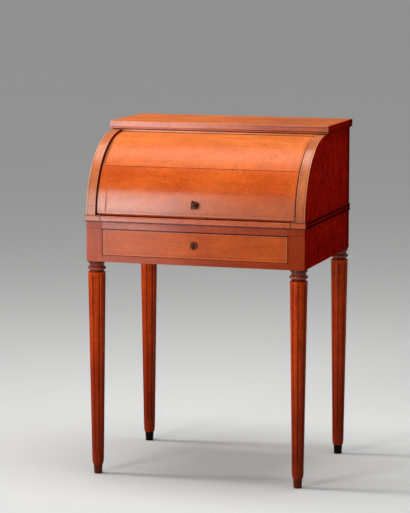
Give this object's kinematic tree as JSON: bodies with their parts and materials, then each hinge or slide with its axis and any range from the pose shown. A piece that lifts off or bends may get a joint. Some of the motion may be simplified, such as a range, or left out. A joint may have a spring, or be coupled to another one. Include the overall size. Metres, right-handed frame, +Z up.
{
  "type": "cylinder-front writing desk",
  "caption": "Small writing desk on fluted, tapered legs, with a quarter-round cylinder front that swings up over a pull-out writing slide, a long drawer and a fitted interior.",
  "frame": {"origin": "on the floor, under the middle of the desk's bounding box", "axes": "+X to the right seen from the front, +Y from the front to the back, +Z up"},
  "size_m": [0.654, 0.5267, 1],
  "materials": {
    "front_veneer": "polished reddish-brown veneer",
    "side_veneer": "polished dark red-brown veneer",
    "turned_wood": "polished turned wood",
    "oak": "plain planed oak",
    "interior_wood": "satin veneer",
    "dark_iron": "blackened, worn smooth",
    "steel": "plain steel",
    "brass": "aged brass",
    "leather": "smooth green leather"
  },
  "bodies": {
    "case": {"post_front_left": "front_veneer", "post_front_right": "front_veneer", "post_rear_left": "front_veneer", "post_rear_right": "front_veneer", "front_rail_lower": "front_veneer", "front_rail_upper": "front_veneer", "top_board": "front_veneer", "waist_moulding_left": "front_veneer", "waist_moulding_right": "front_veneer", "side_apron_left": "side_veneer", "side_apron_right": "side_veneer", "back_apron": "side_veneer", "upper_side_left": "side_veneer", "upper_side_right": "side_veneer", "leg_front_left": "turned_wood", "leg_front_right": "turned_wood", "leg_rear_left": "turned_wood", "leg_rear_right": "turned_wood", "drawer_runner_left": "oak", "drawer_runner_right": "oak", "kicker_left": "oak", "kicker_right": "oak", "slide_guide_left": "oak", "slide_guide_right": "oak", "back_panel": "oak", "nest_base": "interior_wood", "nest_end_left": "interior_wood", "nest_end_right": "interior_wood", "nest_back": "interior_wood", "nest_top": "interior_wood", "nest_shelf": "interior_wood", "nest_divider_left": "interior_wood", "nest_divider_right": "interior_wood", "pivot_pin_left": "steel", "pivot_pin_right": "steel"},
    "cylinder": {"cylinder_stave_lower": "front_veneer", "cylinder_stave_upper": "front_veneer", "cylinder_cheek_left": "oak", "cylinder_cheek_right": "oak", "cylinder_lock_case": "dark_iron", "cylinder_escutcheon": "brass"},
    "cylinder_key": {"cylinder_key": "dark_iron"},
    "cylinder_bolt": {"cylinder_bolt": "dark_iron"},
    "writing_slide": {"slide_front_rail": "front_veneer", "slide_board": "interior_wood", "slide_leather": "leather"},
    "drawer": {"drawer_front": "front_veneer", "drawer_side_left": "oak", "drawer_side_right": "oak", "drawer_back": "oak", "drawer_bottom": "oak", "drawer_lock_case": "dark_iron", "drawer_escutcheon": "dark_iron"},
    "drawer_bolt": {"drawer_bolt": "dark_iron"},
    "inner_drawer_left": {"inner_drawer_left": "interior_wood", "inner_knob_left": "brass"},
    "inner_drawer_middle": {"inner_drawer_middle": "interior_wood", "inner_knob_middle": "brass"},
    "inner_drawer_right": {"inner_drawer_right": "interior_wood", "inner_knob_right": "brass"}
  },
  "joints": [
    {"name": "cylinder_swing", "type": "hinge", "parent": "case", "child": "cylinder", "pos_m": [0, -0.01304, 0.75], "axis": [-1, 0, 0], "range_deg": [0, 75]},
    {"name": "writing_slide_pull", "type": "slide", "parent": "case", "child": "writing_slide", "axis": [0, -1, 0], "range_m": [0, 0.2]},
    {"name": "drawer_pull", "type": "slide", "parent": "case", "child": "drawer", "axis": [0, -1, 0], "range_m": [0, 0.28]},
    {"name": "inner_drawer_left_pull", "type": "slide", "parent": "case", "child": "inner_drawer_left", "axis": [0, -1, 0], "range_m": [0, 0.11]},
    {"name": "inner_drawer_middle_pull", "type": "slide", "parent": "case", "child": "inner_drawer_middle", "axis": [0, -1, 0], "range_m": [0, 0.11]},
    {"name": "inner_drawer_right_pull", "type": "slide", "parent": "case", "child": "inner_drawer_right", "axis": [0, -1, 0], "range_m": [0, 0.11]},
    {"name": "cylinder_key_turn", "type": "hinge", "parent": "cylinder", "child": "cylinder_key", "pos_m": [0, -0.22931, 0.78749], "axis": [0, -0.9853, 0.1708], "range_deg": [0, 180]},
    {"name": "cylinder_bolt_throw", "type": "slide", "parent": "cylinder", "child": "cylinder_bolt", "axis": [0, -0.1708, -0.9853], "range_m": [0, 0.008]},
    {"name": "drawer_bolt_throw", "type": "slide", "parent": "drawer", "child": "drawer_bolt", "axis": [0, 0, 1], "range_m": [0, 0.008]}
  ],
  "couplings": [
    {"joint": "cylinder_bolt_throw", "follows": "cylinder_key_turn", "m_per_rad": 0.0025464}
  ]
}
